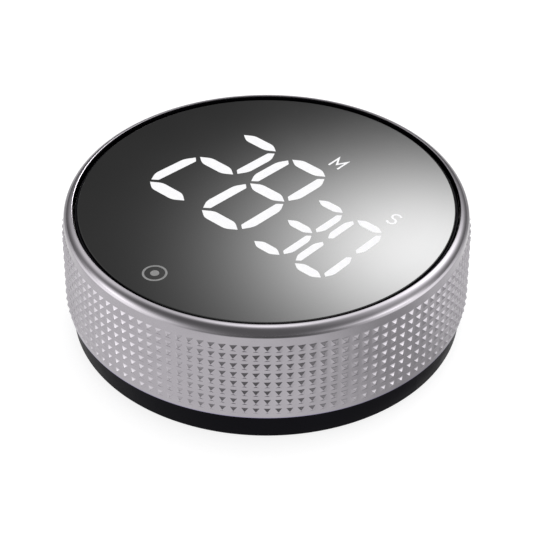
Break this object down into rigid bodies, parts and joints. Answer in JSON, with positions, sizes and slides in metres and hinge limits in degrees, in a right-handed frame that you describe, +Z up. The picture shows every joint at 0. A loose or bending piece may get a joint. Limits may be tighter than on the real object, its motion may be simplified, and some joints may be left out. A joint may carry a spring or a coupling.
{
  "type": "kitchen timer",
  "caption": "Round digital countdown timer: glossy smoked display in a knurled turning ring, on a flat magnetic base with a battery bay underneath.",
  "frame": {"origin": "centre of the ring on the surface the timer rests on, at the foot ring's underside", "axes": "+Z up out of the display, +Y towards the top of the digits, +X to the right as the display is read"},
  "size_m": [0.078, 0.078, 0.0258],
  "materials": {
    "ring_metal": "satin with a polished rim",
    "black_abs": "fine moulded grain",
    "smoked_panel": "high gloss",
    "gear_pom": "smooth",
    "black_rubber": "matt",
    "magnet_nickel": "nickel plated",
    "screw_steel": "zinc plated",
    "white_plastic": "smooth",
    "film_black": "matt",
    "film_white": "matt",
    "tape_black": "matt",
    "circuit_board": "solder mask",
    "chip_black": "matt",
    "led_white": "gloss",
    "nickel_plate": "nickel plated",
    "can_metal": "bright",
    "cell_wrap": "gloss sleeve",
    "foam_grey": "soft foam",
    "wire_red": "gloss",
    "wire_black": "gloss"
  },
  "bodies": {
    "base": {"base_cover": "black_abs", "battery_cell_1": "cell_wrap", "battery_cell_2": "cell_wrap", "battery_cell_3": "cell_wrap", "battery_lead_black": "wire_black", "battery_lead_red": "wire_red", "battery_spring_1": "nickel_plate", "battery_spring_2": "nickel_plate", "battery_spring_3": "nickel_plate", "board_screws": "screw_steel", "buzzer": "chip_black", "buzzer_leads": "wire_black", "contact_link_left": "nickel_plate", "contact_link_right": "nickel_plate", "contact_negative": "nickel_plate", "contact_positive": "nickel_plate", "controller_chip": "chip_black", "crystal_can": "can_metal", "diffuser_film": "film_white", "display_frame": "black_abs", "encoder_base": "chip_black", "encoder_housing": "chip_black", "filter_capacitor": "can_metal", "foot_ring": "black_rubber", "front_panel": "smoked_panel", "housing_screws": "screw_steel", "led_driver_chip": "chip_black", "magnets": "magnet_nickel", "main_board": "circuit_board", "mask_film": "film_black", "panel_tape": "tape_black", "segment_leds": "led_white", "segment_reflector": "white_plastic", "small_parts": "chip_black", "switch_leads": "wire_black", "touch_spring": "nickel_plate", "volume_switch_board": "circuit_board", "volume_switch_body": "can_metal"},
    "knob": {"knurled_ring": "ring_metal", "ring_gear": "gear_pom"},
    "encoder": {"encoder_rotor": "gear_pom", "encoder_pinion": "gear_pom"},
    "battery_lid": {"battery_door": "black_abs", "door_pad": "foam_grey"},
    "volume_key": {"volume_slider": "white_plastic"}
  },
  "joints": [
    {"name": "ring_spin", "type": "hinge", "parent": "base", "child": "knob", "pos_m": [0, 0, 0.0155], "axis": [0, 0, 1], "continuous": true},
    {"name": "encoder_spin", "type": "hinge", "parent": "base", "child": "encoder", "pos_m": [0, 0.028, 0.0096], "axis": [0, 0, 1], "continuous": true},
    {"name": "door_swing", "type": "hinge", "parent": "base", "child": "battery_lid", "pos_m": [-0.0258, 0, 0.001], "axis": [0, 1, 0], "range_deg": [0, 80]},
    {"name": "volume_slide", "type": "slide", "parent": "base", "child": "volume_key", "axis": [1, 0, 0], "range_m": [-0.002, 0.002]}
  ],
  "couplings": [
    {"joint": "encoder_spin", "follows": "ring_spin", "ratio": 6.8333}
  ]
}
